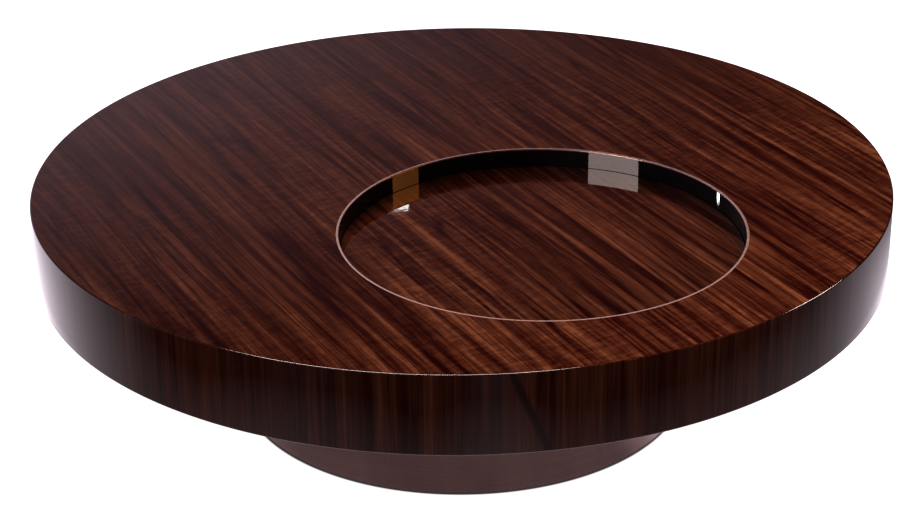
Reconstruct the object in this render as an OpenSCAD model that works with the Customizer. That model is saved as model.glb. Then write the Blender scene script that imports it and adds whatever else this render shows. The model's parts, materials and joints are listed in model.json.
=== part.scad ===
// Revolving low table, built as a lazy susan.
// A thick round top with a sunk well turns on a drum base by way of a ring bearing.
// Origin: on the turning axis at floor level, +Z up, -Y to the front.

/* [Overall] */
// Diameter of the top
top_d = 1300; // [1060:10:1600]
// Height from the floor to the top surface
total_h = 360; // [290:2:440]

/* [Top] */
// Height of the rim, which is the whole thickness of the top
top_h = 119; // [94:1:150]
// Radius on the upper and lower edges of the rim
arris_r = 2; // [1:0.5:4]
// Thickness of the top panel
top_panel_t = 22; // [20:1:28]
// Thickness of the bent rim band
rim_band_t = 18; // [14:1:20]
// Thickness of the panel that closes the underside
underside_t = 18; // [16:1:22]
// Thickness of the ribs inside the top
rib_t = 12; // [9:1:18]
// Distance between two neighbouring ribs
rib_pitch = 320; // [240:10:380]

/* [Well] */
// Diameter of the well, inside its metal lip
well_d = 588; // [480:2:720]
// Depth of the well below the top surface
well_depth = 29; // [20:1:36]
// Land between the well and the rim where they are closest
well_land = 120; // [90:5:200]
// Direction of the well from the axis, in degrees
well_azimuth = -60.6; // [-180:0.2:180]
// Width of the metal lip, seen from above
lip_w = 4; // [3:0.5:6]
// Thickness of the metal lip
lip_t = 2; // [1.5:0.5:3]
// Thickness of the well floor
well_floor_t = 15; // [12:1:18]
// Open joint round the well floor
well_floor_gap = 0.5; // [0.3:0.1:1]
// Width of the collar round the well wall
collar_w = 42; // [30:2:60]
// Thickness of the board that carries the well floor
well_board_t = 12; // [9:1:15]

/* [Drum] */
// Outer diameter of the drum
drum_d = 700; // [580:5:900]
// Thickness of the bent drum wall
drum_wall_t = 12; // [9:1:18]
// Thickness of the metal skin round the drum
skin_t = 1.5; // [1:0.1:2.5]
// How far the skin is turned in over the ends of the wall
skin_return = 8; // [4:1:9]
// Open joint between the drum and the top
shadow_gap = 3; // [2:0.5:8]
// Thickness of the deck that carries the bearing
deck_t = 18; // [17:1:24]
// Thickness of the bottom board
bottom_board_t = 18; // [16:1:24]
// Thickness of the ribs inside the drum
drum_rib_t = 18; // [15:1:24]
// Diameter of the hand hole in the bottom board
hand_hole_d = 220; // [160:5:260]
// Thickness of the cover over the hand hole
cover_t = 6; // [4:1:8]
// Width of the ledge that the cover is screwed to
cover_ledge = 15; // [14:1:24]

/* [Ballast] */
// Outer diameter of the steel ballast ring
ballast_d = 410; // [340:5:440]
// Thickness of the ballast ring
ballast_t = 25; // [15:1:40]
// Number of bolts that hold the ballast ring
ballast_bolts_n = 4; // [3:1:8]

/* [Swivel] */
// Diameter of the board between the bearing and the top
swivel_board_d = 500; // [490:5:560]
// Thickness of the swivel board
swivel_board_t = 18; // [17:1:24]
// Diameter of the circle that the balls run on
ball_circle_d = 400; // [320:5:410]
// Diameter of the bearing balls
ball_d = 8; // [6:0.1:9.6]
// Number of balls
ball_n = 36; // [12:6:60]
// Radial width of each bearing ring
ring_w = 23.5; // [21:0.5:26]
// Thickness of each bearing ring
ring_t = 12; // [12:0.5:14]
// Radial gap between the two rings
ring_gap = 3; // [2.5:0.1:4]
// How much higher the upper ring sits than the lower one
ring_lift = 2; // [1:0.5:2]
// Thickness of the strip that spaces the balls
cage_t = 2.4; // [1.5:0.1:2.4]

/* [Glides] */
// Diameter of the nylon glides
glide_d = 30; // [20:2:36]
// Height of the glides
glide_h = 4; // [3:0.5:8]
// Distance from the drum's outer face to the middle of a glide
glide_inset = 32; // [30:1:45]

/* [Fasteners] */
// Shank diameter of the wood screws
screw_d = 4.5; // [3.5:0.5:5]
// Head diameter of the wood screws
screw_head_d = 9; // [7:0.5:10]
// How deep a screw bites into the piece behind
screw_bite = 14; // [10:1:15]
// Number of screws in each ring of screws
ring_screws_n = 6; // [4:1:12]

/* [Hidden] */
DRUM_RIBS = 6;
GLIDES = 6;
$fn = 96;

// Clearances
fit_gap = 0.05;      // round a screw, in the pieces it goes through
lap_gap = 0.1;       // each side of a half-lapped rib
seat_gap = 0.3;      // round a piece that drops into a recess
past = 1;            // how far a cut runs past the face it opens

// Radii
top_r = top_d / 2;
core_r = top_r - rim_band_t;
well_r = well_d / 2;
lip_r = well_r + lip_w;
collar_r = lip_r + collar_w;
well_offset = top_r - well_land - well_r;
well_x = well_offset * cos(well_azimuth);
well_y = well_offset * sin(well_azimuth);
drum_r = drum_d / 2;
drum_wall_r = drum_r - skin_t;
drum_inner_r = drum_wall_r - drum_wall_t;
hand_hole_r = hand_hole_d / 2;
cover_seat_r = hand_hole_r + cover_ledge;
cover_screw_r = hand_hole_r + cover_ledge / 2;
ballast_inner_r = hand_hole_r + 10;
ballast_r = ballast_d / 2;
ballast_bolt_r = (ballast_inner_r + ballast_r) / 2;
drum_rib_inner_r = ballast_r + 10;
drum_rib_screw_r = (drum_rib_inner_r + drum_inner_r) / 2;
glide_circle_r = drum_r - glide_inset;

// Bearing radii: the upper ring is the inner one, the lower ring the outer one
ball_circle_r = ball_circle_d / 2;
upper_ring_r = ball_circle_r - ring_gap / 2;
upper_ring_inner_r = upper_ring_r - ring_w;
upper_screw_r = upper_ring_r - ring_w / 2;
lower_ring_inner_r = ball_circle_r + ring_gap / 2;
lower_ring_r = lower_ring_inner_r + ring_w;
lower_screw_r = lower_ring_inner_r + ring_w / 2;
groove_r = ball_d / 2 + 0.2;
pocket_r = ball_d / 2 + 0.2;
swivel_board_r = swivel_board_d / 2;
swivel_screw_r = (lower_ring_r + swivel_board_r) / 2;
driver_hole_r = 9;

// Heights, from the floor up
bottom_z = glide_h;
bottom_top_z = bottom_z + bottom_board_t;
ballast_top_z = bottom_top_z + ballast_t;
underside_z = total_h - top_h;
swivel_z = underside_z - swivel_board_t;
deck_top_z = swivel_z - ring_t - ring_lift;
deck_z = deck_top_z - deck_t;
drum_top_z = underside_z - shadow_gap;
ball_z = deck_top_z + (ring_t + ring_lift) / 2;
rib_z = underside_z + underside_t;
panel_z = total_h - top_panel_t;
well_floor_top_z = total_h - well_depth;
well_floor_z = well_floor_top_z - well_floor_t;
well_board_z = well_floor_z - well_board_t;
lap_z = (rib_z + well_board_z) / 2;

// Screws and bolts
well_board_screws_n = 12;
head_angle_h = (screw_head_d - screw_d) / 2;
deck_screw_l = deck_t + screw_bite;
bottom_screw_l = bottom_board_t + screw_bite;
swivel_screw_l = swivel_board_t + screw_bite;
ring_screw_l = ring_t + screw_bite;
well_screw_l = panel_z - well_board_z - 4;
cover_screw_l = bottom_board_t - 2;
glide_screw_sunk = 1;
glide_screw_l = glide_h - glide_screw_sunk + bottom_board_t - 2;
bolt_r = 4;
bolt_head_h = 5.3;
bolt_head_flats = 13;
washer_r = 8;
washer_t = 1.6;
tee_flange_r = 11;
tee_flange_t = 1.5;
tee_barrel_r = 5;
tee_barrel_h = 11;
bolt_l = washer_t + ballast_t + bottom_board_t - 4;
cage_h = ring_t;

// Finishes
rosewood = [0.24, 0.11, 0.08];
rim_rosewood = [0.17, 0.08, 0.06];
black_gloss = [0.02, 0.02, 0.02];
bright_metal = [0.78, 0.70, 0.66];
bronze = [0.24, 0.19, 0.18];
plywood = [0.72, 0.58, 0.40];
aluminium = [0.76, 0.77, 0.78];
steel = [0.55, 0.56, 0.58];
nylon = [0.10, 0.10, 0.10];
cage_nylon = [0.85, 0.83, 0.76];

// ---- Helpers ----

module disc(r, z, h) {
    translate([0, 0, z]) cylinder(r = r, h = h);
}

module ring(inner, outer, z, h) {
    difference() {
        disc(outer, z, h);
        disc(inner, z - past, h + 2 * past);
    }
}

module at_well() {
    translate([well_x, well_y, 0]) children();
}

// Copies on a circle, the first one at the angle start
module on_circle(n, r, start = 0) {
    for (i = [0 : n - 1]) rotate([0, 0, start + i * 360 / n]) translate([r, 0, 0]) children();
}

// Half section of a countersunk screw that points down from its head, grown by gap
module screw_section(length, gap) {
    head_r = screw_head_d / 2 + gap;
    shank_r = screw_d / 2 + gap;
    tip_h = gap > 0 ? 0 : screw_d / 2;
    polygon([
        [0, gap], [head_r, gap], [head_r, 0], [shank_r, -head_angle_h],
        [shank_r, tip_h - length - gap], [gap > 0 ? shank_r : 0, -length - gap], [0, -length - gap]
    ]);
}

module screw(length) {
    slot_l = screw_head_d * 0.55;
    slot_w = screw_d * 0.22;
    slot_depth = head_angle_h * 0.8;
    difference() {
        rotate_extrude() screw_section(length, 0);
        for (turn = [0, 90]) rotate([0, 0, turn]) translate([-slot_l / 2, -slot_w / 2, -slot_depth])
            cube([slot_l, slot_w, slot_depth + past]);
    }
}

module screw_hole(length) {
    rotate_extrude() screw_section(length, fit_gap);
}

// Turns a screw or its hole to point up, with its head at height z
module upward(z) {
    translate([0, 0, z]) mirror([0, 0, 1]) children();
}

module downward(z) {
    translate([0, 0, z]) children();
}

// ---- Places of the screws, shared by the screws and by the pieces they go through ----

module well_board_screw_places() {
    at_well() on_circle(well_board_screws_n, lip_r + collar_w / 2, 15) upward(well_board_z) children();
}

module swivel_screw_places() {
    on_circle(ring_screws_n, swivel_screw_r, 15) upward(swivel_z) children();
}

module upper_ring_screw_places() {
    on_circle(ring_screws_n, upper_screw_r, 30) upward(deck_top_z + ring_lift) children();
}

module lower_ring_screw_places() {
    on_circle(ring_screws_n, lower_screw_r, 30) downward(deck_top_z + ring_t) children();
}

module deck_screw_places() {
    on_circle(DRUM_RIBS, drum_rib_screw_r) downward(deck_top_z) children();
}

module bottom_screw_places() {
    on_circle(DRUM_RIBS, drum_rib_screw_r) upward(bottom_z) children();
}

module cover_screw_places() {
    on_circle(ring_screws_n, cover_screw_r, 30) upward(bottom_z) children();
}

module glide_places() {
    on_circle(GLIDES, glide_circle_r, 30) children();
}

module ballast_bolt_places() {
    on_circle(ballast_bolts_n, ballast_bolt_r, 45) children();
}

// ---- The top ----

// Half section of the whole top, with its rounded edges
module top_section() {
    arris_x = top_r - arris_r;
    translate([0, underside_z]) square([arris_x, top_h]);
    translate([0, underside_z + arris_r]) square([top_r, top_h - 2 * arris_r]);
    for (z = [underside_z + arris_r, total_h - arris_r]) translate([arris_x, z]) circle(r = arris_r);
}

module top_panel() {
    color(rosewood) difference() {
        rotate_extrude() intersection() {
            top_section();
            polygon([
                [0, panel_z], [core_r, panel_z], [core_r, total_h - rim_band_t],
                [top_r + past, total_h + past], [0, total_h + past]
            ]);
        }
        at_well() disc(lip_r, panel_z - past, top_panel_t + 2 * past);
    }
}

module rim_band() {
    color(rim_rosewood) rotate_extrude() intersection() {
        top_section();
        polygon([
            [core_r, underside_z - past], [top_r + past, underside_z - past],
            [top_r + past, total_h + past], [core_r, total_h - rim_band_t]
        ]);
    }
}

module underside_panel() {
    color(black_gloss) difference() {
        disc(core_r, underside_z, underside_t);
        swivel_screw_places() screw_hole(swivel_screw_l);
    }
}

// Room that the well and its collar take out of the ribs
module well_room() {
    at_well() disc(collar_r + seat_gap, well_board_z, top_h);
}

// A rib on edge, centred on X, trimmed to the round core of the top
module rib_blank(y) {
    difference() {
        intersection() {
            translate([-core_r, y - rib_t / 2, rib_z]) cube([2 * core_r, rib_t, panel_z - rib_z]);
            disc(core_r, rib_z, panel_z - rib_z);
        }
        for (x = [-rib_pitch, 0, rib_pitch]) translate([x - rib_t / 2 - lap_gap, y - rib_t, lap_z])
            cube([rib_t + 2 * lap_gap, 2 * rib_t, top_h]);
    }
}

// Long ribs run along X and are notched from above
module long_rib(step) {
    color(plywood) difference() {
        rib_blank(step * rib_pitch);
        well_room();
    }
}

// Cross ribs run along Y and are notched from below
module cross_rib(step) {
    x = step * rib_pitch;
    color(plywood) difference() {
        intersection() {
            translate([x - rib_t / 2, -core_r, rib_z]) cube([rib_t, 2 * core_r, panel_z - rib_z]);
            disc(core_r, rib_z, panel_z - rib_z);
        }
        for (y = [-rib_pitch, 0, rib_pitch]) translate([x - rib_t, y - rib_t / 2 - lap_gap, rib_z - past])
            cube([2 * rib_t, rib_t + 2 * lap_gap, lap_z - rib_z + past]);
        well_room();
    }
}

// ---- The well ----

module well_lip() {
    color(bright_metal) at_well() ring(well_r, lip_r, total_h - lip_t, lip_t);
}

module well_wall() {
    color(black_gloss) at_well() ring(well_r, lip_r, well_floor_z, well_depth + well_floor_t - lip_t);
}

module well_floor() {
    color(rosewood) at_well() disc(well_r - well_floor_gap, well_floor_z, well_floor_t);
}

module well_collar() {
    color(plywood) difference() {
        at_well() ring(lip_r, collar_r, well_floor_z, panel_z - well_floor_z);
        well_board_screw_places() screw_hole(well_screw_l);
    }
}

module well_board() {
    color(plywood) difference() {
        at_well() disc(collar_r, well_board_z, well_board_t);
        well_board_screw_places() screw_hole(well_screw_l);
    }
}

module well_board_screws() {
    color(steel) well_board_screw_places() screw(well_screw_l);
}

// ---- The swivel ----

module swivel_board() {
    color(plywood) difference() {
        disc(swivel_board_r, swivel_z, swivel_board_t);
        swivel_screw_places() screw_hole(swivel_screw_l);
        upper_ring_screw_places() screw_hole(ring_screw_l);
    }
}

module swivel_board_screws() {
    color(steel) swivel_screw_places() screw(swivel_screw_l);
}

// Half section of a bearing ring with its ball groove
module ring_section(inner, z) {
    difference() {
        translate([inner, z]) square([ring_w, ring_t]);
        translate([ball_circle_r, ball_z]) circle(r = groove_r);
    }
}

module bearing_upper_ring() {
    color(aluminium) difference() {
        rotate_extrude() ring_section(upper_ring_inner_r, deck_top_z + ring_lift);
        upper_ring_screw_places() screw_hole(ring_screw_l);
    }
}

module upper_ring_screws() {
    color(steel) upper_ring_screw_places() screw(ring_screw_l);
}

module bearing_lower_ring() {
    color(aluminium) difference() {
        rotate_extrude() ring_section(lower_ring_inner_r, deck_top_z);
        lower_ring_screw_places() screw_hole(ring_screw_l);
    }
}

module lower_ring_screws() {
    color(steel) lower_ring_screw_places() screw(ring_screw_l);
}

module bearing_balls() {
    color(steel) on_circle(ball_n, ball_circle_r) translate([0, 0, ball_z]) sphere(d = ball_d);
}

module ball_cage() {
    color(cage_nylon) difference() {
        ring(ball_circle_r - cage_t / 2, ball_circle_r + cage_t / 2, ball_z - cage_h / 2, cage_h);
        on_circle(ball_n, ball_circle_r - cage_t) translate([0, 0, ball_z]) rotate([0, 90, 0])
            cylinder(r = pocket_r, h = 2 * cage_t);
    }
}

// ---- The drum ----

module deck() {
    color(plywood) difference() {
        disc(drum_inner_r, deck_z, deck_t);
        deck_screw_places() screw_hole(deck_screw_l);
        lower_ring_screw_places() screw_hole(ring_screw_l);
        on_circle(ring_screws_n, upper_screw_r, 30) disc(driver_hole_r, deck_z - past, deck_t + 2 * past);
    }
}

module deck_screws() {
    color(steel) deck_screw_places() screw(deck_screw_l);
}

module drum_rib(i) {
    color(plywood) difference() {
        intersection() {
            rotate([0, 0, i * 360 / DRUM_RIBS]) translate([drum_rib_inner_r, -drum_rib_t / 2, bottom_top_z])
                cube([drum_r, drum_rib_t, deck_z - bottom_top_z]);
            disc(drum_inner_r, bottom_top_z, deck_z - bottom_top_z);
        }
        deck_screw_places() screw_hole(deck_screw_l);
        bottom_screw_places() screw_hole(bottom_screw_l);
    }
}

module drum_wall() {
    color(plywood) ring(drum_inner_r, drum_wall_r, bottom_z + skin_t, drum_top_z - bottom_z - 2 * skin_t);
}

// The skin is a sleeve whose ends are turned in over the wall
module drum_skin() {
    color(bronze) difference() {
        disc(drum_r, bottom_z, drum_top_z - bottom_z);
        disc(drum_wall_r, bottom_z + skin_t, drum_top_z - bottom_z - 2 * skin_t);
        disc(drum_wall_r - skin_return, bottom_z - past, drum_top_z - bottom_z + 2 * past);
    }
}

module bottom_board() {
    tee_nut_z = bottom_z + tee_flange_t;
    color(plywood) difference() {
        disc(drum_inner_r, bottom_z, bottom_board_t);
        disc(hand_hole_r, bottom_z - past, bottom_board_t + 2 * past);
        disc(cover_seat_r, bottom_z - past, cover_t + past);
        cover_screw_places() screw_hole(cover_screw_l);
        bottom_screw_places() screw_hole(bottom_screw_l);
        glide_places() upward(glide_screw_sunk) screw_hole(glide_screw_l);
        ballast_bolt_places() {
            disc(tee_flange_r + fit_gap, bottom_z - past, tee_flange_t + past);
            disc(tee_barrel_r + fit_gap, bottom_z, tee_flange_t + tee_barrel_h);
            disc(bolt_r + seat_gap, bottom_z, bottom_board_t + past);
        }
    }
}

module bottom_board_screws() {
    color(steel) bottom_screw_places() screw(bottom_screw_l);
}

module hand_hole_cover() {
    color(nylon) difference() {
        disc(cover_seat_r - seat_gap, bottom_z, cover_t);
        cover_screw_places() screw_hole(cover_screw_l);
    }
}

module cover_screws() {
    color(steel) cover_screw_places() screw(cover_screw_l);
}

module ballast_ring() {
    color(steel) difference() {
        ring(ballast_inner_r, ballast_r, bottom_top_z, ballast_t);
        ballast_bolt_places() disc(bolt_r + seat_gap, bottom_top_z - past, ballast_t + 2 * past);
    }
}

module ballast_bolts() {
    head_z = ballast_top_z + washer_t;
    color(steel) ballast_bolt_places() {
        disc(bolt_r, head_z - bolt_l, bolt_l);
        translate([0, 0, head_z]) cylinder(d = bolt_head_flats / cos(30), h = bolt_head_h, $fn = 6);
    }
}

module ballast_washers() {
    color(steel) ballast_bolt_places() ring(bolt_r + seat_gap, washer_r, ballast_top_z, washer_t);
}

module ballast_tee_nuts() {
    color(steel) ballast_bolt_places() difference() {
        union() {
            disc(tee_flange_r, bottom_z, tee_flange_t);
            disc(tee_barrel_r, bottom_z, tee_flange_t + tee_barrel_h);
        }
        disc(bolt_r + fit_gap, bottom_z - past, tee_flange_t + tee_barrel_h + 2 * past);
    }
}

// A glide is a button with a bevelled foot and a sunk screw
module glide(i) {
    glide_r = glide_d / 2;
    bevel = 1;
    color(nylon) rotate([0, 0, 30 + i * 360 / GLIDES]) translate([glide_circle_r, 0, 0]) difference() {
        rotate_extrude() polygon([
            [0, 0], [glide_r - bevel, 0], [glide_r, bevel], [glide_r, glide_h], [0, glide_h]
        ]);
        disc(screw_head_d / 2 + fit_gap, -past, glide_screw_sunk + past);
        upward(glide_screw_sunk) screw_hole(glide_screw_l);
    }
}

module glide_screws() {
    color(steel) glide_places() upward(glide_screw_sunk) screw(glide_screw_l);
}

// ---- Everything in place ----

top_panel();
rim_band();
underside_panel();
long_rib(-1);  // long_rib_front
long_rib(0);  // long_rib_middle
long_rib(1);  // long_rib_back
cross_rib(-1);  // cross_rib_left
cross_rib(0);  // cross_rib_middle
cross_rib(1);  // cross_rib_right
well_lip();
well_wall();
well_floor();
well_collar();
well_board();
well_board_screws();
swivel_board();
swivel_board_screws();
bearing_upper_ring();
upper_ring_screws();
bearing_balls();
ball_cage();
bearing_lower_ring();
lower_ring_screws();
deck();
deck_screws();
for (i = [1 : DRUM_RIBS]) drum_rib(i - 1);
drum_wall();
drum_skin();
bottom_board();
bottom_board_screws();
hand_hole_cover();
cover_screws();
ballast_ring();
ballast_bolts();
ballast_washers();
ballast_tee_nuts();
for (i = [1 : GLIDES]) glide(i - 1);
glide_screws();
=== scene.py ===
import json
import math

import bpy
from mathutils import Matrix, Vector


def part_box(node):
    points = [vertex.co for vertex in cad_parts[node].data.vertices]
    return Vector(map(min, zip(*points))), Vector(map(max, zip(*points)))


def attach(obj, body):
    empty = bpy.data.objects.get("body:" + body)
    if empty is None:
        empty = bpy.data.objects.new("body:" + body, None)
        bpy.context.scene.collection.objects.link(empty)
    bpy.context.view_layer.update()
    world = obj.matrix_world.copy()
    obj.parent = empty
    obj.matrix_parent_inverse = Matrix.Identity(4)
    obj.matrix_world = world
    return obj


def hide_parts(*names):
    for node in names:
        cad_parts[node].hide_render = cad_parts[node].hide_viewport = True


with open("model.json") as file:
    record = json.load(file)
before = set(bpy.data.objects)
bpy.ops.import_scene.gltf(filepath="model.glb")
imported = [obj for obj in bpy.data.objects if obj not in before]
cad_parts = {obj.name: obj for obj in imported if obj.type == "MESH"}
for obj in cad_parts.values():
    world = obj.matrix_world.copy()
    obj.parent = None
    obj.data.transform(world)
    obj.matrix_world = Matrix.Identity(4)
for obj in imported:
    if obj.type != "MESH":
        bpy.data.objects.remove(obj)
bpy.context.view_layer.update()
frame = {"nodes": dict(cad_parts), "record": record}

mm = 0.001
roundParts = 384          # corners of the big circles, so that gloss shows no facets


def radiusOf(node):
    low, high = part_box(node)
    return round((high.y - low.y) / 2, 4)


def heightsOf(node):
    low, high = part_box(node)
    return round(low.z, 4), round(high.z, 4)


def middleOf(node):
    low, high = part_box(node)
    return Vector(((low.x + high.x) / 2, (low.y + high.y) / 2, 0))


wellMiddle = middleOf("well_wall")
panelLow, topHeight = heightsOf("top_panel")
rimLow = heightsOf("rim_band")[0]
rimRadius = radiusOf("rim_band")
coreRadius = radiusOf("underside_panel")
lipRadius = radiusOf("well_lip")
drumLow, drumHigh = heightsOf("drum_skin")
print("sizes read: top", rimRadius * 2, "m across,", topHeight, "m high")


def deselectAll():
    if bpy.context.object and bpy.context.object.mode != "OBJECT":
        bpy.ops.object.mode_set(mode="OBJECT")
    bpy.ops.object.select_all(action="DESELECT")


def startCircle(name, radius, height, middle, filled, parts=roundParts):
    deselectAll()
    bpy.ops.mesh.primitive_circle_add(
        vertices=parts, radius=radius, fill_type="NGON" if filled else "NOTHING",
        location=(middle.x, middle.y, height))
    piece = bpy.context.object
    piece.name = name
    piece.data.name = name
    bpy.ops.object.transform_apply(location=True, rotation=True, scale=True)
    bpy.ops.object.mode_set(mode="EDIT")
    bpy.ops.mesh.select_all(action="SELECT")
    return piece


def turn(name, outline, middle=Vector((0, 0, 0)), filled=False, parts=roundParts):
    # turned as on a lathe: a circle is drawn out from each (radius, height) of the outline to the next
    radius, height = outline[0]
    piece = startCircle(name, radius, height, middle, filled, parts)
    for nextRadius, nextHeight in outline[1:]:
        bpy.ops.mesh.extrude_region_move(TRANSFORM_OT_translate={"value": (0, 0, nextHeight - height)})
        share = nextRadius / radius
        bpy.ops.transform.resize(value=(share, share, 1), center_override=(middle.x, middle.y, nextHeight))
        radius, height = nextRadius, nextHeight
    bpy.ops.mesh.select_all(action="SELECT")
    bpy.ops.mesh.remove_doubles(threshold=0.01 * mm)
    bpy.ops.mesh.normals_make_consistent(inside=False)
    bpy.ops.object.mode_set(mode="OBJECT")
    return piece


def arc(radius, height, size, startDegrees, endDegrees, parts=6):
    # points of a rounded edge, with 0 degrees pointing outwards and 90 up
    step = (endDegrees - startDegrees) / parts
    angles = [math.radians(startDegrees + step * i) for i in range(parts + 1)]
    return [(radius + size * math.cos(a), height + size * math.sin(a)) for a in angles]


def cutRoundHole(piece, middle, radius, low, high, parts=roundParts):
    deselectAll()
    bpy.ops.mesh.primitive_cylinder_add(
        vertices=parts, radius=radius, depth=high - low, location=(middle.x, middle.y, (low + high) / 2))
    cutter = bpy.context.object
    cut = piece.modifiers.new("hole", "BOOLEAN")
    cut.operation = "DIFFERENCE"
    cut.solver = "EXACT"
    cut.object = cutter
    bpy.context.view_layer.objects.active = piece
    bpy.ops.object.modifier_apply(modifier="hole")
    bpy.data.objects.remove(cutter)


def smoothButKeepFlats(piece, flatArea=0.0004, sharpDegrees=40):
    # round faces are smooth, and big level faces stay flat so that they mirror cleanly
    deselectAll()
    piece.select_set(True)
    bpy.context.view_layer.objects.active = piece
    bpy.ops.object.shade_smooth_by_angle(angle=math.radians(sharpDegrees))
    for face in piece.data.polygons:
        if abs(face.normal.z) > 0.9999 and face.area > flatArea:
            face.use_smooth = False


def finishPiece(piece, body, node, material):
    piece.data.materials.clear()
    piece.data.materials.append(material)
    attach(piece, body)
    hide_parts(node)


def newMaterial(name):
    material = bpy.data.materials.new(name)
    material.use_nodes = True
    tree = material.node_tree
    tree.nodes.clear()
    output = tree.nodes.new("ShaderNodeOutputMaterial")
    shader = tree.nodes.new("ShaderNodeBsdfPrincipled")
    tree.links.new(shader.outputs["BSDF"], output.inputs["Surface"])
    return material, tree, shader


def addNode(tree, kind, inputs=None, **settings):
    node = tree.nodes.new(kind)
    for key, value in settings.items():
        setattr(node, key, value)
    for key, value in (inputs or {}).items():
        if isinstance(value, bpy.types.NodeSocket):
            tree.links.new(value, node.inputs[key])
        else:
            node.inputs[key].default_value = value
    return node


def objectSpace(tree, scale=(1, 1, 1), turnDegrees=0, shift=(0, 0, 0)):
    place = addNode(tree, "ShaderNodeTexCoord")
    mapping = addNode(tree, "ShaderNodeMapping", {"Vector": place.outputs["Object"]})
    mapping.inputs["Rotation"].default_value = (0, 0, math.radians(turnDegrees))
    mapping.inputs["Scale"].default_value = scale
    mapping.inputs["Location"].default_value = shift
    return mapping.outputs["Vector"]


def maths(tree, operation, first, second=0.0, third=0.0, clamp=False):
    node = addNode(tree, "ShaderNodeMath", {0: first, 1: second, 2: third}, operation=operation)
    node.use_clamp = clamp
    return node.outputs[0]


def mixNumber(tree, share, first, second):
    return maths(tree, "ADD", maths(tree, "MULTIPLY", second, share),
                 maths(tree, "MULTIPLY", first, maths(tree, "SUBTRACT", 1.0, share)))


def noise(tree, vector, scale, detail=2.0, roughness=0.5, distortion=0.0):
    node = addNode(tree, "ShaderNodeTexNoise", {
        "Vector": vector, "Scale": scale, "Detail": detail,
        "Roughness": roughness, "Distortion": distortion})
    return node.outputs["Fac"]


def stretched(tree, vector, scale, shift=(0, 0, 0)):
    node = addNode(tree, "ShaderNodeMapping", {"Vector": vector})
    node.inputs["Scale"].default_value = scale
    node.inputs["Location"].default_value = shift
    return node.outputs["Vector"]


def grained(tree, space, size, shift=(0, 0, 0)):
    # size is how many per metre across the grain and along it
    across, along = size
    return stretched(tree, space, (across, along, across), shift)


def spread(tree, value, low, high, newLow=0.0, newHigh=1.0, kind="LINEAR"):
    node = addNode(tree, "ShaderNodeMapRange", {
        "Value": value, "From Min": low, "From Max": high, "To Min": newLow, "To Max": newHigh},
        interpolation_type=kind)
    return node.outputs["Result"]


def ramp(tree, value, stops):
    node = addNode(tree, "ShaderNodeValToRGB", {"Fac": value})
    elements = node.color_ramp.elements
    while len(elements) < len(stops):
        elements.new(0.5)
    for element, (position, colour) in zip(elements, stops):
        element.position = position
        element.color = (*colour, 1)
    return node.outputs["Color"]


def mixColour(tree, share, first, second, blend="MIX"):
    node = addNode(tree, "ShaderNodeMix", data_type="RGBA", blend_type=blend)
    for index, value in ((0, share), (6, first), (7, second)):
        if isinstance(value, bpy.types.NodeSocket):
            tree.links.new(value, node.inputs[index])
        elif index == 0:
            node.inputs[index].default_value = value
        else:
            node.inputs[index].default_value = (*value, 1)
    return node.outputs[2]


def bump(tree, height, distance, strength=1.0):
    node = addNode(tree, "ShaderNodeBump", {"Height": height, "Distance": distance, "Strength": strength})
    return node.outputs["Normal"]


def joined(tree, x, y, z):
    return addNode(tree, "ShaderNodeCombineXYZ", {0: x, 1: y, 2: z}).outputs[0]


def parted(tree, vector):
    return addNode(tree, "ShaderNodeSeparateXYZ", {0: vector}).outputs


def lacquer(tree, shader, peelSpace, gloss):
    # clear gloss coat with the faint unevenness of a hand polish
    shader.inputs["Coat Weight"].default_value = 1.0
    shader.inputs["Coat Roughness"].default_value = gloss["coatRoughness"]
    shader.inputs["Coat IOR"].default_value = gloss["coatIor"]
    shader.inputs["Specular IOR Level"].default_value = gloss["underCoatShine"]
    shader.inputs["Roughness"].default_value = gloss["underCoatRoughness"]
    peel = noise(tree, peelSpace, gloss["peelScale"], 1.0)
    wave = noise(tree, peelSpace, gloss["waveScale"], 0.0)
    both = maths(tree, "MULTIPLY_ADD", wave, gloss["waveShare"], peel)
    tree.links.new(bump(tree, both, gloss["peelHeight"]), shader.inputs["Coat Normal"])


# striped veneer under lacquer
veneerLook = {
    "grainTurn": -27.5,       # degrees that bring the grain onto Y
    "wander": 0.011,          # how far the stripes stray, in metres
    "slowBend": (3.0, 1.3),   # bends per metre, across the grain and along it
    "quickBend": (14.0, 4.5),
    "quickShare": 0.35,
    # layers of long thin noise: how many per metre, stretch along the grain, detail, strength
    "layers": [
        (5.0, 0.10, 1.0, 0.45),
        (30.0, 0.034, 1.0, 0.85),
        (70.0, 0.026, 1.0, 1.50),
        (150.0, 0.028, 2.0, 1.30),
        (420.0, 0.060, 1.0, 0.55)],
    "inkLines": (52.0, 0.030, 0.42),      # dark lines: how many per metre, stretch, strength
    "inkWidth": 0.035,
    "curl": 1.10,             # strength of the ripples across the grain
    "curlSize": (38.0, 110.0),            # ripples per metre, across the grain and along it
    "curlPatchSize": (3.2, 1.4),
    "curlPatch": (0.34, 0.62),            # where the ripples begin and where they are full
    "pores": 0.07,            # how dark the pores are
    "poreSize": (1500.0, 60.0),
    "poreRange": (0.58, 0.70),
    "figure": (0.48, 0.98),   # how strong the pattern is, from the back left to the front right
    "figureFrom": (-0.45, 0.55),
    "lift": 0.10,             # how much lighter lively veneer is
    "middle": 0.505,          # the tone between dark and light
    "tones": [
        (0.00, (0.0280, 0.0010, 0.0003)),
        (0.14, (0.0430, 0.0024, 0.0006)),
        (0.30, (0.0610, 0.0070, 0.0020)),
        (0.42, (0.0820, 0.0150, 0.0050)),
        (0.52, (0.1040, 0.0230, 0.0088)),
        (0.62, (0.1300, 0.0325, 0.0128)),
        (0.76, (0.1720, 0.0480, 0.0185)),
        (0.90, (0.2200, 0.0700, 0.0300)),
        (1.00, (0.3100, 0.1080, 0.0450))],
}

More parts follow.
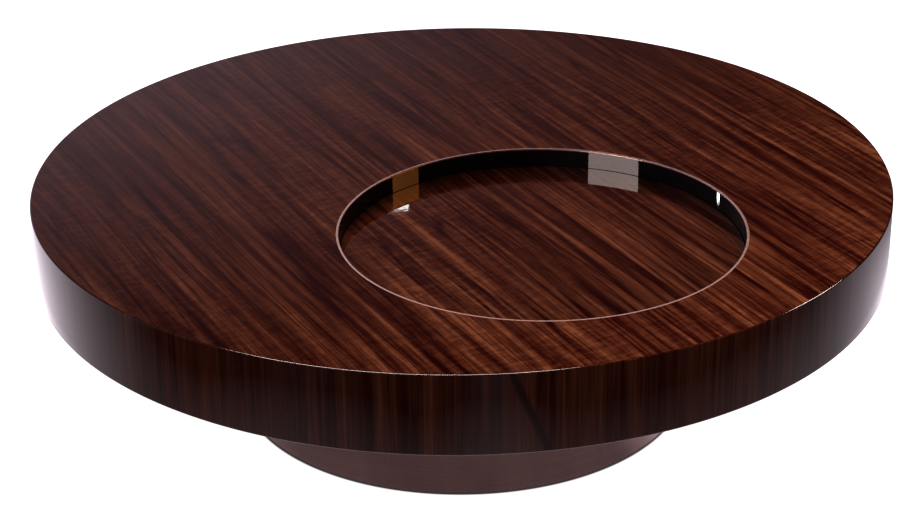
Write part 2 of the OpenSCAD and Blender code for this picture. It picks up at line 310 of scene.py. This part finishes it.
glossLook = {
    "coatRoughness": 0.02, "coatIor": 1.5, "underCoatShine": 0.0, "underCoatRoughness": 0.5,
    "peelScale": 160.0, "waveScale": 9.0, "waveShare": 4.0, "peelHeight": 0.00001,
}


def stripedTone(tree, space, look, figure=1.0):
    # space has the grain along Y; the stripes are long thin noise, bent a little by a slow one
    slow = noise(tree, grained(tree, space, look["slowBend"]), 1.0, 1.0)
    quick = noise(tree, grained(tree, space, look["quickBend"]), 1.0, 1.0)
    stray = maths(tree, "MULTIPLY", maths(tree, "SUBTRACT", slow, 0.5), look["wander"] * 2)
    quickStray = look["wander"] * look["quickShare"]
    stray = maths(tree, "MULTIPLY_ADD", maths(tree, "SUBTRACT", quick, 0.5), quickStray, stray)
    x, y, z = parted(tree, space)
    bent = joined(tree, maths(tree, "ADD", x, stray), y, z)
    tone = look["middle"]
    for index, (perMetre, stretch, detail, strength) in enumerate(look["layers"]):
        thin = stretched(tree, bent, (1.0, stretch, 1.0), (index * 3.7, index * 1.9, 0.0))
        layer = noise(tree, thin, perMetre, detail, 0.55)
        tone = maths(tree, "MULTIPLY_ADD", maths(tree, "SUBTRACT", layer, 0.5), strength, tone)
    perMetre, stretch, strength = look["inkLines"]
    ink = noise(tree, stretched(tree, bent, (1.0, stretch, 1.0), (9.0, 4.0, 0.0)), perMetre, 0.0)
    away = maths(tree, "ABSOLUTE", maths(tree, "SUBTRACT", ink, 0.5))
    near = spread(tree, away, 0.0, look["inkWidth"], 1.0, 0.0)
    tone = maths(tree, "MULTIPLY_ADD", near, -strength, tone)
    # curly figure: short ripples across the grain, in patches
    curl = noise(tree, grained(tree, bent, look["curlSize"]), 1.0, 2.0, 0.6, 0.8)
    patch = noise(tree, grained(tree, bent, look["curlPatchSize"], (4.0, 2.0, 0.0)), 1.0, 1.0)
    patch = spread(tree, patch, *look["curlPatch"])
    curl = maths(tree, "MULTIPLY", maths(tree, "SUBTRACT", curl, 0.5), patch)
    tone = maths(tree, "MULTIPLY_ADD", curl, look["curl"], tone)
    # calm where figure is low, lively where it is high
    calm = maths(tree, "MULTIPLY", maths(tree, "SUBTRACT", tone, look["middle"]), figure)
    tone = maths(tree, "ADD", calm, maths(tree, "MULTIPLY_ADD", figure, look["lift"], look["middle"]))
    # pores: fine dark dashes
    pore = noise(tree, grained(tree, bent, look["poreSize"]), 1.0, 1.0)
    pore = spread(tree, pore, *look["poreRange"])
    return maths(tree, "MULTIPLY_ADD", pore, -look["pores"], tone, clamp=True)


def makeTopVeneer():
    material, tree, shader = newMaterial("striped_veneer_gloss")
    space = objectSpace(tree, turnDegrees=veneerLook["grainTurn"])
    # the figure grows livelier from the back left to the front right
    x, y, z = parted(tree, objectSpace(tree))
    figure = spread(tree, maths(tree, "SUBTRACT", x, y), *veneerLook["figureFrom"], *veneerLook["figure"])
    tone = stripedTone(tree, space, veneerLook, figure)
    tree.links.new(ramp(tree, tone, veneerLook["tones"]), shader.inputs["Base Color"])
    lacquer(tree, shader, space, glossLook)
    return material


rimLook = dict(veneerLook)
rimLook.update({
    "leafWidth": 0.19,        # width of one veneer leaf on the rim, in metres
    "wander": 0.004,
    "layers": [
        (6.0, 0.10, 1.0, 0.60),
        (26.0, 0.06, 1.0, 0.75),
        (70.0, 0.03, 1.0, 0.70),
        (190.0, 0.020, 2.0, 0.75),
        (460.0, 0.020, 1.0, 0.45)],
    "inkLines": (46.0, 0.03, 0.12),
    "curl": 0.12,
    "middle": 0.40,
    "leafShades": (0.60, 1.30),
    # a painted reflection of a dark line: top and foot are degrees right of the front, and width is in
    # degrees to each side
    "reflectedDarkLine": {"top": 5.4, "foot": 9.8, "width": 0.8, "depth": 0.9},
})


def makeRimVeneer():
    # upright grain: the pattern is looked up on the rim itself, with its height as the grain direction
    material, tree, shader = newMaterial("rim_veneer_gloss")
    plain = objectSpace(tree)
    x, y, z = parted(tree, plain)
    angle = maths(tree, "ARCTAN2", y, x)
    leaves = round(2 * math.pi * rimRadius / rimLook["leafWidth"])
    number = maths(tree, "FLOOR", maths(tree, "MULTIPLY", angle, leaves / (2 * math.pi)))
    chance = addNode(tree, "ShaderNodeTexWhiteNoise", {"W": number}, noise_dimensions="1D").outputs["Value"]
    arcLength = maths(tree, "MULTIPLY_ADD", angle, rimRadius, maths(tree, "MULTIPLY", chance, 7.0))
    space = joined(tree, arcLength, z, maths(tree, "MULTIPLY", chance, 3.0))
    tone = stripedTone(tree, space, rimLook)
    # painted reflection: one slanting dark line in the front leaf, a dark thing nearby mirrored in the
    # gloss
    reflectedLine = rimLook["reflectedDarkLine"]
    low, high = math.radians(reflectedLine["foot"] - 90), math.radians(reflectedLine["top"] - 90)
    line = spread(tree, z, rimLow, topHeight, low, high)
    away = maths(tree, "ABSOLUTE", maths(tree, "SUBTRACT", angle, line))
    near = spread(tree, away, 0.0, math.radians(reflectedLine["width"]), 1.0, 0.0, "SMOOTHSTEP")
    tone = maths(tree, "MULTIPLY", tone, maths(tree, "MULTIPLY_ADD", near, -reflectedLine["depth"], 1.0))
    colour = ramp(tree, tone, rimLook["tones"])
    shade = spread(tree, chance, 0.0, 1.0, *rimLook["leafShades"])
    colour = mixColour(tree, 1.0, colour, joined(tree, shade, shade, shade), "MULTIPLY")
    tree.links.new(colour, shader.inputs["Base Color"])
    lacquer(tree, shader, plain, glossLook)
    return material


def makeBlackGloss():
    material, tree, shader = newMaterial("black_gloss_lacquer")
    space = objectSpace(tree)
    cloud = noise(tree, space, 25.0, 3.0)
    colour = ramp(tree, cloud, [(0.3, (0.0030, 0.0020, 0.0018)), (0.7, (0.0060, 0.0038, 0.0032))])
    tree.links.new(colour, shader.inputs["Base Color"])
    lacquer(tree, shader, space, glossLook)
    return material


def makeBlackSatin():
    material, tree, shader = newMaterial("black_satin_lacquer")
    space = objectSpace(tree)
    grain = noise(tree, stretched(tree, space, (12.0, 160.0, 12.0)), 1.0, 4.0, 0.6)
    colour = ramp(tree, grain, [(0.3, (0.010, 0.009, 0.009)), (0.7, (0.018, 0.016, 0.015))])
    tree.links.new(colour, shader.inputs["Base Color"])
    tree.links.new(spread(tree, grain, 0.3, 0.7, 0.34, 0.44), shader.inputs["Roughness"])
    tree.links.new(bump(tree, grain, 0.00008), shader.inputs["Normal"])
    return material


def makeLipMetal():
    material, tree, shader = newMaterial("polished_lip_metal")
    space = objectSpace(tree)
    wear = noise(tree, space, 140.0, 3.0)
    colour = ramp(tree, wear, [(0.3, (0.70, 0.50, 0.44)), (0.7, (0.82, 0.62, 0.55))])
    tree.links.new(colour, shader.inputs["Base Color"])
    shader.inputs["Metallic"].default_value = 1.0
    tree.links.new(spread(tree, wear, 0.3, 0.7, 0.26, 0.36), shader.inputs["Roughness"])
    return material


bronzeLook = {
    "patina": [(0.25, (0.098, 0.060, 0.054)), (0.75, (0.172, 0.112, 0.102))],
    "lines": 620.0,           # fine lines per metre of height
    "roughness": (0.26, 0.40),
}


def makeBronze():
    material, tree, shader = newMaterial("dark_bronze_satin")
    space = objectSpace(tree)
    brushed = noise(tree, stretched(tree, space, (2.5, 2.5, bronzeLook["lines"])), 1.0, 3.0, 0.6)
    patina = noise(tree, stretched(tree, space, (7.0, 7.0, 3.0)), 1.0, 4.0, 0.6)
    both = maths(tree, "MULTIPLY_ADD", maths(tree, "SUBTRACT", brushed, 0.5), 0.5, patina)
    tree.links.new(ramp(tree, both, bronzeLook["patina"]), shader.inputs["Base Color"])
    shader.inputs["Metallic"].default_value = 1.0
    low, high = bronzeLook["roughness"]
    tree.links.new(spread(tree, both, 0.3, 0.7, low, high), shader.inputs["Roughness"])
    tree.links.new(bump(tree, brushed, 0.00003), shader.inputs["Normal"])
    return material


plywoodLook = {
    "face": [(0.25, (0.50, 0.34, 0.19)), (0.55, (0.66, 0.48, 0.29)), (0.8, (0.74, 0.57, 0.37))],
    "edge": [(0.45, (0.62, 0.45, 0.27)), (0.55, (0.34, 0.22, 0.12)), (0.95, (0.38, 0.25, 0.14))],
    "twoPlies": 2.8 * mm,     # height of one light ply and one dark one
}


def makePlywood():
    material, tree, shader = newMaterial("birch_plywood")
    space = objectSpace(tree)
    face = noise(tree, stretched(tree, space, (6.0, 90.0, 90.0)), 1.0, 5.0, 0.6, 0.4)
    faceColour = ramp(tree, face, plywoodLook["face"])
    height = parted(tree, space)[2]
    ply = maths(tree, "FRACT", maths(tree, "MULTIPLY", height, 1 / plywoodLook["twoPlies"]))
    edgeColour = ramp(tree, ply, plywoodLook["edge"])
    normal = parted(tree, addNode(tree, "ShaderNodeNewGeometry").outputs["Normal"])[2]
    onEdge = spread(tree, maths(tree, "ABSOLUTE", normal), 0.4, 0.6, 1.0, 0.0)
    tree.links.new(mixColour(tree, onEdge, faceColour, edgeColour), shader.inputs["Base Color"])
    shader.inputs["Roughness"].default_value = 0.62
    tree.links.new(bump(tree, face, 0.0002), shader.inputs["Normal"])
    return material


def makeMetal(name, dark, light, roughness, lineScale):
    material, tree, shader = newMaterial(name)
    space = objectSpace(tree)
    lines = noise(tree, stretched(tree, space, lineScale), 1.0, 4.0, 0.6)
    tree.links.new(ramp(tree, lines, [(0.3, dark), (0.7, light)]), shader.inputs["Base Color"])
    shader.inputs["Metallic"].default_value = 1.0
    tree.links.new(spread(tree, lines, 0.3, 0.7, *roughness), shader.inputs["Roughness"])
    tree.links.new(bump(tree, lines, 0.00004), shader.inputs["Normal"])
    return material


def makePlastic(name, dark, light, roughness):
    material, tree, shader = newMaterial(name)
    space = objectSpace(tree)
    speck = noise(tree, space, 900.0, 3.0, 0.6)
    tree.links.new(ramp(tree, speck, [(0.3, dark), (0.7, light)]), shader.inputs["Base Color"])
    shader.inputs["Roughness"].default_value = roughness
    tree.links.new(bump(tree, speck, 0.00006), shader.inputs["Normal"])
    return material


topVeneer = makeTopVeneer()
rimVeneer = makeRimVeneer()
blackGloss = makeBlackGloss()
blackSatin = makeBlackSatin()
lipMetal = makeLipMetal()
bronze = makeBronze()
print("materials made")

topShape = {
    "arris": 2 * mm,          # radius of the rounded edges
    "arrisParts": 8,
    "bandThickness": rimRadius - coreRadius,
    "undersideBevel": 0.6 * mm,
    "cutterSpare": 5 * mm,    # how far the cutter of the well stands out above and below
}


def makeTableTop():
    mitreFoot = (coreRadius, topHeight - topShape["bandThickness"])
    outline = [(coreRadius, panelLow), mitreFoot, (rimRadius - topShape["arris"], topHeight)]
    piece = turn("table_top", outline, filled=True)
    spare = topShape["cutterSpare"]
    cutRoundHole(piece, wellMiddle, lipRadius, panelLow - spare, topHeight + spare)
    smoothButKeepFlats(piece)
    finishPiece(piece, "top", "top_panel", topVeneer)


def makeRim():
    arris = topShape["arris"]
    upper = arc(rimRadius - arris, topHeight - arris, arris, 90, 0, topShape["arrisParts"])
    lower = arc(rimRadius - arris, rimLow + arris, arris, 0, -90, topShape["arrisParts"])
    mitreFoot = (coreRadius, topHeight - topShape["bandThickness"])
    outline = [mitreFoot] + upper + lower + [(coreRadius, rimLow), mitreFoot]
    piece = turn("rim_fascia", outline)
    smoothButKeepFlats(piece)
    finishPiece(piece, "top", "rim_band", rimVeneer)


def makeUnderside():
    low, high = heightsOf("underside_panel")
    bevelSize = topShape["undersideBevel"]
    outline = arc(coreRadius - bevelSize, low + bevelSize, bevelSize, -90, 0, 3) + [(coreRadius, high)]
    piece = turn("underside_disc", outline, filled=True)
    smoothButKeepFlats(piece)
    finishPiece(piece, "top", "underside_panel", blackSatin)


makeTableTop()
makeRim()
makeUnderside()
print("top made")

lipShape = {"width": 4 * mm, "crown": 0.9 * mm, "crownParts": 5, "outerShare": 0.3}
wallShape = {"ease": 0.3 * mm}
wellFloorShape = {"ease": 0.8 * mm, "easeParts": 4}


def makeLip():
    low, high = heightsOf("well_lip")
    inner = lipRadius - lipShape["width"]
    crown = lipShape["crown"]
    parts = lipShape["crownParts"]
    outerCrown = crown * lipShape["outerShare"]
    outer = arc(lipRadius - outerCrown, high - outerCrown, outerCrown, 0, 90, 3)
    inside = arc(inner + crown, high - crown, crown, 90, 180, parts)
    outline = [(lipRadius, low)] + outer + inside + [(inner, low), (lipRadius, low)]
    piece = turn("lip_ring", outline, wellMiddle)
    smoothButKeepFlats(piece)
    finishPiece(piece, "top", "well_lip", lipMetal)


def makeWellWall():
    low, high = heightsOf("well_wall")
    inner = lipRadius - lipShape["width"]
    ease = wallShape["ease"]
    outline = [(lipRadius, low), (lipRadius, high), (inner + ease, high)]
    outline += [(inner, high - ease), (inner, low), (lipRadius, low)]
    piece = turn("well_liner", outline, wellMiddle)
    smoothButKeepFlats(piece)
    finishPiece(piece, "top", "well_wall", blackGloss)


def makeWellFloor():
    low, high = heightsOf("well_floor")
    radius = radiusOf("well_floor")
    ease = wellFloorShape["ease"]
    outline = [(radius, low)] + arc(radius - ease, high - ease, ease, 0, 90, wellFloorShape["easeParts"])
    piece = turn("well_floor_disc", outline, wellMiddle, filled=True)
    smoothButKeepFlats(piece)
    finishPiece(piece, "top", "well_floor", topVeneer)


makeLip()
makeWellWall()
makeWellFloor()
print("well made")

skinShape = {"metal": 1.5 * mm, "turnedIn": 9.5 * mm, "edge": 1.2 * mm, "edgeParts": 5}


def makeDrumSkin():
    metal = skinShape["metal"]
    edge = skinShape["edge"]
    radius = radiusOf("drum_skin")
    insideLip = radius - skinShape["turnedIn"]
    outline = [(insideLip, drumLow)]
    outline += arc(radius - edge, drumLow + edge, edge, -90, 0, skinShape["edgeParts"])
    outline += arc(radius - edge, drumHigh - edge, edge, 0, 90, skinShape["edgeParts"])
    outline += [(insideLip, drumHigh), (insideLip, drumHigh - metal), (radius - metal, drumHigh - metal)]
    outline += [(radius - metal, drumLow + metal), (insideLip, drumLow + metal), (insideLip, drumLow)]
    piece = turn("drum_sleeve", outline)
    smoothButKeepFlats(piece)
    finishPiece(piece, "base", "drum_skin", bronze)


makeDrumSkin()
print("drum made")

# finishes of the pieces that stay as they are
nodeFinishes = {
    "plywood": makePlywood(),
    "aluminium_ring": makeMetal(
        "turned_aluminium", (0.60, 0.61, 0.62), (0.78, 0.79, 0.80), (0.22, 0.34), (3, 3, 700)),
    "ball_steel": makeMetal(
        "ball_steel_polish", (0.62, 0.63, 0.65), (0.80, 0.81, 0.83), (0.05, 0.10), (60, 60, 60)),
    "ballast_steel": makeMetal(
        "ballast_mill_steel", (0.13, 0.13, 0.14), (0.26, 0.26, 0.27), (0.42, 0.62), (9, 40, 40)),
    "zinc_steel": makeMetal(
        "zinc_plated_steel", (0.46, 0.47, 0.45), (0.68, 0.68, 0.64), (0.26, 0.40), (300, 300, 300)),
    "cage_nylon": makePlastic("natural_nylon", (0.62, 0.58, 0.48), (0.72, 0.69, 0.60), 0.48),
    "black_nylon": makePlastic("black_nylon_texture", (0.012, 0.012, 0.013), (0.024, 0.024, 0.025), 0.5),
    "striped_veneer": topVeneer, "rim_veneer": rimVeneer, "black_lacquer": blackSatin,
    "bright_metal": lipMetal, "bronze_metal": bronze,
}
for row in frame["record"]["subparts"]:
    node = frame["nodes"][row["node"]]
    node.data.materials.clear()
    node.data.materials.append(nodeFinishes[row["material_slot"]])
print("finishes given to", len(frame["nodes"]), "frame pieces")

floorLook = {
    "size": 30.0, "colour": (0.82, 0.82, 0.82), "glow": 1.0,
    "shadowUnderDrumRadius": 0.349,      # painted shadow: under the drum the floor's glow is taken away, so the floor is dark
    "shadowUnderDrumSoftness": 3 * mm,
    "bounce": 0.24,           # soft light that the floor sends back to surfaces that don't mirror
    # what the gloss mirrors of the floor: a painted glow of light and shade that only gloss sees
    "mirrored": {
        "tint": (1.0, 0.90, 0.99),
        "dim": 0.16,          # where there is no patch of light
        "least": 0.03,
        # soft patches of light: degrees from the front, half width in degrees, brightness
        "patches": [(-108, 55, 1.50), (102, 30, 0.62), (84, 45, 0.30), (6, 12, 0.34), (-30, 24, 0.22)],
        "backPatch": (60, 0.80),
        # brightness lost per metre from the axis, between near and far; at middle it is as stated
        "fall": 1.35, "middle": 1.10, "near": 0.90, "far": 1.30,
        "rimGlow": 1.3,       # a brighter ring below the rim, full inside rimGlowFull
        "rimGlowEnd": 0.92, "rimGlowFull": 0.78,
        # painted shade under the top all round, and painted light in a stretch to the right, which is in
        # shares of the way round
        "shadeUnderTop": 0.86, "lightUnderTopRight": 2.2,
        "rightBegins": (0.615, 0.68), "rightEnds": (0.74, 0.82),
        "shadeUnderTopReach": (0.60, 0.72),        # metres from the axis over which that gives way to the rest
    },
}


def wayRound(tree, x, y):
    # 0 at the back by way of the left, 0.5 at the front, 1 at the back again by way of the right
    angle = maths(tree, "ARCTAN2", x, maths(tree, "MULTIPLY", y, -1.0))
    return maths(tree, "MULTIPLY_ADD", angle, 0.5 / math.pi, 0.5)


def makeFloor():
    deselectAll()
    bpy.ops.mesh.primitive_plane_add(size=floorLook["size"], location=(0, 0, 0))
    floor = bpy.context.object
    floor.name = "studio_floor"
    material = bpy.data.materials.new("pale_floor")
    material.use_nodes = True
    tree = material.node_tree
    tree.nodes.clear()
    x, y, z = parted(tree, objectSpace(tree))
    level = joined(tree, x, y, 0.0)
    distance = addNode(tree, "ShaderNodeVectorMath", {0: level}, operation="LENGTH").outputs["Value"]
    # painted light and shade, seen only in gloss: patches of light, a brighter ring under the rim and shade
    # under the top
    mirrored = floorLook["mirrored"]
    way = wayRound(tree, x, y)
    fromFront = maths(tree, "MULTIPLY", maths(tree, "SUBTRACT", way, 0.5), 360.0)
    halfWidth, height = mirrored["backPatch"]
    aside = maths(tree, "ABSOLUTE", fromFront)
    patch = spread(tree, aside, 180.0 - halfWidth, 180.0, 0.0, height, "SMOOTHSTEP")
    strength = maths(tree, "ADD", patch, mirrored["dim"])
    for middle, halfWidth, height in mirrored["patches"]:
        aside = maths(tree, "ABSOLUTE", maths(tree, "SUBTRACT", fromFront, middle))
        patch = spread(tree, aside, 0.0, halfWidth, height, 0.0, "SMOOTHSTEP")
        strength = maths(tree, "ADD", strength, patch)
    step = maths(tree, "MINIMUM", maths(tree, "MAXIMUM", distance, mirrored["near"]), mirrored["far"])
    step = maths(tree, "SUBTRACT", mirrored["middle"], step)
    strength = maths(tree, "MULTIPLY_ADD", step, mirrored["fall"], strength)
    strength = maths(tree, "MAXIMUM", strength, mirrored["least"])
    ring = spread(tree, distance, mirrored["rimGlowEnd"], mirrored["rimGlowFull"], 0.0, mirrored["rimGlow"])
    strength = maths(tree, "ADD", strength, ring)
    begins = spread(tree, way, *mirrored["rightBegins"], 0.0, 1.0, "SMOOTHSTEP")
    ends = spread(tree, way, *mirrored["rightEnds"], 1.0, 0.0, "SMOOTHSTEP")
    rightSide = maths(tree, "MULTIPLY", begins, ends)
    # painted shade under the top, with painted light in the stretch to the right
    under = spread(tree, rightSide, 0.0, 1.0, mirrored["shadeUnderTop"], mirrored["lightUnderTopRight"])
    outside = spread(tree, distance, *mirrored["shadeUnderTopReach"], 0.0, 1.0, "SMOOTHSTEP")
    strength = mixNumber(tree, outside, under, strength)
    sight = addNode(tree, "ShaderNodeLightPath")
    strength = mixNumber(tree, sight.outputs["Is Glossy Ray"], floorLook["bounce"], strength)
    unseen = addNode(tree, "ShaderNodeEmission", {"Color": (*mirrored["tint"], 1), "Strength": strength})
    shadowUnderDrumEnd = floorLook["shadowUnderDrumRadius"] + floorLook["shadowUnderDrumSoftness"]
    # painted shadow: the floor's glow fades out at the drum's foot, so the floor under the drum is dark
    foot = spread(tree, distance, floorLook["shadowUnderDrumRadius"], shadowUnderDrumEnd, 0.0, floorLook["glow"])
    seen = addNode(tree, "ShaderNodeBsdfPrincipled", {
        "Base Color": (*floorLook["colour"], 1), "Roughness": 0.9, "Emission Color": (1, 1, 1, 1),
        "Emission Strength": foot})
    seen.inputs["Specular IOR Level"].default_value = 0.0
    both = addNode(tree, "ShaderNodeMixShader", {
        0: sight.outputs["Is Camera Ray"], 1: unseen.outputs[0], 2: seen.outputs["BSDF"]})
    # seen from below the floor is clear, so that the underside can be looked at
    below = addNode(tree, "ShaderNodeNewGeometry").outputs["Backfacing"]
    clear = addNode(tree, "ShaderNodeBsdfTransparent")
    whole = addNode(tree, "ShaderNodeMixShader", {0: below, 1: both.outputs[0], 2: clear.outputs[0]})
    addNode(tree, "ShaderNodeOutputMaterial", {"Surface": whole.outputs[0]})
    floor.data.materials.append(material)


def towards(turnDegrees, heightDegrees):
    # a direction, by degrees round from the front and degrees up
    turned, raised = math.radians(turnDegrees), math.radians(heightDegrees)
    level = math.cos(raised)
    return Vector((math.sin(turned) * level, -math.cos(turned) * level, math.sin(raised)))


roomLook = {
    "backdrop": 1.0,          # what the camera sees past the floor
    "mirroredDark": 0.02, "mirroredLeft": 0.66,
    "leftReach": (-0.24, 0.16), "leftFall": 1.5, "lowReach": (0.34, 0.47),
    "softAll": 0.22,          # soft light from all round
    "softBack": 2.6,          # and from a window low at the back
    "windowTurn": 172.0, "windowHeight": 24.0, "windowNarrowness": 8.0,
    "tint": (1.0, 0.90, 1.08),
}


def makeRoom():
    world = bpy.data.worlds.new("studio")
    bpy.context.scene.world = world
    world.use_nodes = True
    tree = world.node_tree
    tree.nodes.clear()
    direction = addNode(tree, "ShaderNodeTexCoord").outputs["Generated"]
    x, y, z = parted(tree, direction)
    # mirrored by gloss: a dark room, a little lighter to the left and low down
    left = spread(tree, x, *roomLook["leftReach"], 1.0, 0.0)
    left = maths(tree, "POWER", left, roomLook["leftFall"])
    low = spread(tree, z, *roomLook["lowReach"], roomLook["mirroredLeft"], 0.0)
    mirrored = maths(tree, "MULTIPLY_ADD", left, low, roomLook["mirroredDark"])
    # soft light on everything
    axis = towards(roomLook["windowTurn"], roomLook["windowHeight"])
    facing = addNode(tree, "ShaderNodeVectorMath", {0: direction, 1: axis}, operation="DOT_PRODUCT")
    window = maths(tree, "MAXIMUM", facing.outputs["Value"], 0.0)
    window = maths(tree, "POWER", window, roomLook["windowNarrowness"])
    soft = maths(tree, "MULTIPLY_ADD", window, roomLook["softBack"], roomLook["softAll"])
    sight = addNode(tree, "ShaderNodeLightPath")
    strength = mixNumber(tree, sight.outputs["Is Glossy Ray"], soft, mirrored)
    unseen = addNode(tree, "ShaderNodeBackground", {"Color": (*roomLook["tint"], 1), "Strength": strength})
    seen = addNode(tree, "ShaderNodeBackground", {"Color": (1, 1, 1, 1), "Strength": roomLook["backdrop"]})
    both = addNode(tree, "ShaderNodeMixShader", {
        0: sight.outputs["Is Camera Ray"], 1: unseen.outputs[0], 2: seen.outputs[0]})
    addNode(tree, "ShaderNodeOutputWorld", {"Surface": both.outputs[0]})


wellFloorHeight = heightsOf("well_floor")[1]
wellTarget = Vector((wellMiddle.x, wellMiddle.y, wellFloorHeight))
wellBack = Vector((-0.094, -0.07, wellFloorHeight))
topFront = Vector((0.50, -0.33, topHeight))
rimFront = Vector((-0.37, -0.75, topHeight))
rimRight = Vector((0.51, -0.40, topHeight))
# each light: target, degrees round and up from it, distance, size across and down, brightness, colour
# and group of pieces; the groups notWell and wellSoft light surfaces, and a light for any other
# group is seen only as a highlight in the gloss of its pieces
lights = {
    "softbox_above": (topFront, 50.0, 80.0, 1.10, (0.6, 0.6), 8.2, (1.0, 0.98, 0.96), "notWell"),
    "window_for_well": (wellTarget, 176.0, 23.0, 3.0, (1.6, 0.5), 34.0, (1.0, 0.97, 0.96), "wellSoft"),
    "panel_front_left": (wellTarget, -46.5, 23.4, 3.3, (1.72, 0.46), 42.0, (1.0, 0.82, 0.77), "well"),
    "lamp_warm_right": (wellTarget, 89.0, 23.8, 3.3, (1.10, 0.40), 15.0, (1.0, 0.36, 0.08), "well"),
    "strip_back_left": (wellTarget, -129.0, 24.0, 3.3, (0.14, 0.09), 200.0, (1.0, 0.98, 0.95), "well"),
    "lamp_back": (wellBack, 181.8, 23.8, 3.3, (0.065, 0.050), 7.0, (1.0, 0.95, 0.93), "well"),
    "strip_over_front": (rimFront, 0.0, 89.9, 1.3, (1.7, 0.6), 28.0, (1.0, 0.90, 0.88), "rim"),
    "strip_over_right": (rimRight, 118.0, 38.6, 1.6, (0.36, 0.46), 44.0, (1.0, 0.92, 0.90), "rim"),
    "glow_for_lip": (wellTarget, 180.0, 38.0, 3.0, (3.0, 1.0), 1.15, (1.0, 0.80, 0.76), "lip"),
}
litPieces = {
    "well": ["well_floor_disc", "well_liner"], "rim": ["rim_fascia"], "lip": ["lip_ring"],
    "wellSoft": ["well_floor_disc"],
    "notWell": ["well_floor_disc"],       # here the piece is left out, and all others are lit
}


def makeLights():
    groups = {}
    for group, names in litPieces.items():
        groups[group] = bpy.data.collections.new("lit_" + group)
        for name in names:
            groups[group].objects.link(bpy.data.objects[name])
    for linked in groups["notWell"].collection_objects:
        linked.light_linking.link_state = "EXCLUDE"
    for name, (target, turned, raised, distance, size, brightness, colour, group) in lights.items():
        data = bpy.data.lights.new(name, "AREA")
        data.shape = "RECTANGLE"
        data.size, data.size_y = size
        data.energy = brightness * math.pi * size[0] * size[1]
        data.color = colour
        lamp = bpy.data.objects.new(name, data)
        bpy.context.scene.collection.objects.link(lamp)
        lamp.location = target + towards(turned, raised) * distance
        lamp.rotation_euler = (target - lamp.location).to_track_quat("-Z", "Y").to_euler()
        lamp.light_linking.receiver_collection = groups[group]
        lamp.visible_camera = False
        lamp.visible_diffuse = group in ("notWell", "wellSoft")
        lamp.visible_glossy = not lamp.visible_diffuse


cameraSetup = {
    "lens": 88.85, "sensorWidth": 36.0,
    "place": (-0.0005, -3.199, 1.379),    # the height is from the top of the table
    "pitchDown": 25.6, "roll": -0.67,     # degrees
}


def makeCamera():
    data = bpy.data.cameras.new("camera")
    data.lens = cameraSetup["lens"]
    data.sensor_width = cameraSetup["sensorWidth"]
    camera = bpy.data.objects.new("camera", data)
    bpy.context.scene.collection.objects.link(camera)
    tilt = Matrix.Rotation(math.radians(90 - cameraSetup["pitchDown"]), 4, "X")
    roll = Matrix.Rotation(math.radians(cameraSetup["roll"]), 4, "Z")
    place = Vector(cameraSetup["place"]) + Vector((0, 0, topHeight))
    camera.matrix_world = Matrix.Translation(place) @ tilt @ roll
    bpy.context.scene.camera = camera


makeFloor()
makeRoom()
makeLights()
makeCamera()
bpy.context.scene.view_settings.view_transform = "Standard"
bpy.context.scene.view_settings.look = "None"
bpy.context.scene.view_settings.gamma = 0.8      # a little more contrast
print("studio made")
